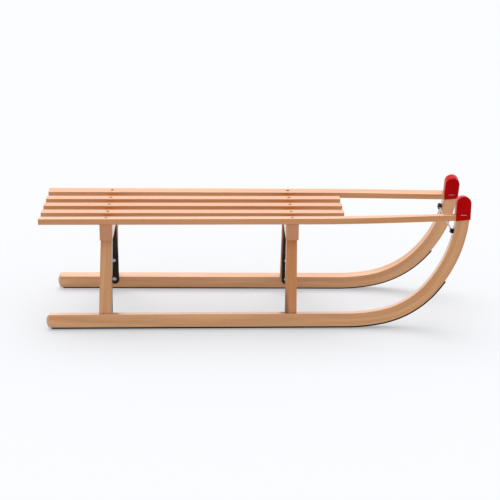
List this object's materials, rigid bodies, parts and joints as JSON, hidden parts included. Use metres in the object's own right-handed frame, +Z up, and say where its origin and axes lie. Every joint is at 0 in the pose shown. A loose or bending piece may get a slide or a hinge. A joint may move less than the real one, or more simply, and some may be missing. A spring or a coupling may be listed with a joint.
{
  "type": "wooden toboggan",
  "caption": "Low wooden sled with a slatted seat on bent runners, steel shoes and braces, upturned horns with red caps and a tow bar.",
  "frame": {"origin": "the floor point under the middle of the sled's length and width", "axes": "+X forward to the horns, +Y to the sled's left, +Z up"},
  "size_m": [1.0064, 0.3038, 0.3113],
  "materials": {
    "varnished_beech": "clear satin varnish over steamed beech",
    "black_steel": "black lacquered flat steel, semi-matte",
    "bright_steel": "zinc-plated steel",
    "shoe_steel": "plain drawn steel strip, dull and dark",
    "red_plastic": "moulded red plastic, semi-gloss",
    "black_plastic": "moulded black plastic, matte"
  },
  "bodies": {
    "root": {"brace_front": "black_steel", "brace_rear": "black_steel", "brace_rivet_front_left_lower": "bright_steel", "brace_rivet_front_left_upper": "bright_steel", "brace_rivet_front_right_lower": "bright_steel", "brace_rivet_front_right_upper": "bright_steel", "brace_rivet_rear_left_lower": "bright_steel", "brace_rivet_rear_left_upper": "bright_steel", "brace_rivet_rear_right_lower": "bright_steel", "brace_rivet_rear_right_upper": "bright_steel", "brace_screw_front_left": "bright_steel", "brace_screw_front_right": "bright_steel", "brace_screw_rear_left": "bright_steel", "brace_screw_rear_right": "bright_steel", "cap_staple_left_inner": "bright_steel", "cap_staple_left_outer": "bright_steel", "cap_staple_right_inner": "bright_steel", "cap_staple_right_outer": "bright_steel", "crossbar_front": "varnished_beech", "crossbar_rear": "varnished_beech", "horn_cap_left": "red_plastic", "horn_cap_right": "red_plastic", "leg_front_left": "varnished_beech", "leg_front_right": "varnished_beech", "leg_rear_left": "varnished_beech", "leg_rear_right": "varnished_beech", "runner_left": "varnished_beech", "runner_right": "varnished_beech", "runner_shoe_left": "shoe_steel", "runner_shoe_right": "shoe_steel", "seat_rail_left": "varnished_beech", "seat_rail_right": "varnished_beech", "seat_screw_front_rail_left": "bright_steel", "seat_screw_front_rail_right": "bright_steel", "seat_screw_front_slat_centre": "bright_steel", "seat_screw_front_slat_left": "bright_steel", "seat_screw_front_slat_right": "bright_steel", "seat_screw_rear_rail_left": "bright_steel", "seat_screw_rear_rail_right": "bright_steel", "seat_screw_rear_slat_centre": "bright_steel", "seat_screw_rear_slat_left": "bright_steel", "seat_screw_rear_slat_right": "bright_steel", "seat_slat_centre": "varnished_beech", "seat_slat_left": "varnished_beech", "seat_slat_right": "varnished_beech", "shoe_screw_left_1": "bright_steel", "shoe_screw_left_2": "bright_steel", "shoe_screw_left_3": "bright_steel", "shoe_screw_left_4": "bright_steel", "shoe_screw_left_5": "bright_steel", "shoe_screw_right_1": "bright_steel", "shoe_screw_right_2": "bright_steel", "shoe_screw_right_3": "bright_steel", "shoe_screw_right_4": "bright_steel", "shoe_screw_right_5": "bright_steel", "tow_bar": "bright_steel", "tow_bar_block_left": "black_plastic", "tow_bar_block_right": "black_plastic", "tow_bar_screw_left": "bright_steel", "tow_bar_screw_right": "bright_steel"}
  },
  "joints": []
}
